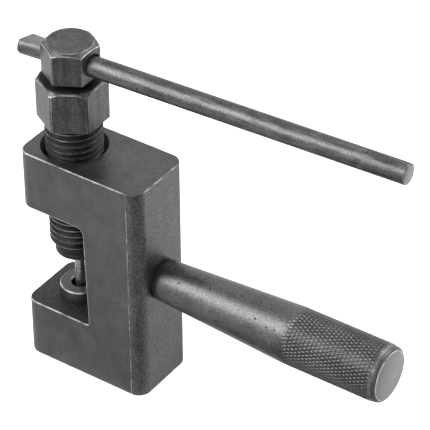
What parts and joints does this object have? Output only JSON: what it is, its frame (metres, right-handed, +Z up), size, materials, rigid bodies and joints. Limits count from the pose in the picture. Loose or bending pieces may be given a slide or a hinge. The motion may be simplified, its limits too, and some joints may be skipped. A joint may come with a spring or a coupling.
{
  "type": "chain tool",
  "caption": "Heavy bench-style chain breaker: C-shaped body with side handle, hollow adjusting bolt and T-bar push screw that drives a rivet pin into an anvil.",
  "frame": {"origin": "on the screw axis, at the body's base, where the rivet drops out", "axes": "+Z up along the screw axis, +X along the handle away from the mouth, +Y across the body"},
  "size_m": [0.1165, 0.0222, 0.1021],
  "materials": {
    "body_steel": "black oxide, satin, worn bright on its edges",
    "anvil_steel": "hardened, black oxide with a bright worn rim",
    "handle_steel": "black oxide over turned steel, diamond-knurled grip",
    "bolt_steel": "black oxide, oiled thread",
    "screw_steel": "black oxide, oiled",
    "bar_steel": "black oxide over drawn bar",
    "pin_steel": "hardened and ground",
    "washer_steel": "plain turned steel",
    "spring_steel": "drawn spring wire"
  },
  "bodies": {
    "frame": {"body": "body_steel", "anvil_bush": "anvil_steel", "handle": "handle_steel"},
    "seat": {"spring_washer": "washer_steel", "return_spring": "spring_steel"},
    "adjuster": {"adjusting_bolt": "bolt_steel"},
    "pin": {"drive_pin": "pin_steel"},
    "screw": {"push_screw": "screw_steel"},
    "bar": {"t_bar": "bar_steel"}
  },
  "joints": [
    {"name": "adjuster_travel", "type": "slide", "parent": "frame", "child": "seat", "axis": [0, 0, -1], "range_m": [-0.0165, 0.0092]},
    {"name": "adjuster_turn", "type": "hinge", "parent": "seat", "child": "adjuster", "pos_m": [0, 0, 0.06], "axis": [0, 0, -1], "range_deg": [-2976, 1662]},
    {"name": "push_travel", "type": "slide", "parent": "adjuster", "child": "pin", "axis": [0, 0, -1], "range_m": [-0.016, 0.0013], "deforming": ["return_spring"]},
    {"name": "push_turn", "type": "hinge", "parent": "pin", "child": "screw", "pos_m": [0, 0, 0.09], "axis": [0, 0, -1], "range_deg": [-3846, 314]},
    {"name": "bar_slide", "type": "slide", "parent": "screw", "child": "bar", "axis": [0.9984, 0.0558, 0], "range_m": [-0.085, 0]}
  ],
  "couplings": [
    {"joint": "adjuster_turn", "follows": "adjuster_travel", "rad_per_m": 3141.6},
    {"joint": "push_turn", "follows": "push_travel", "rad_per_m": 4188.8}
  ]
}
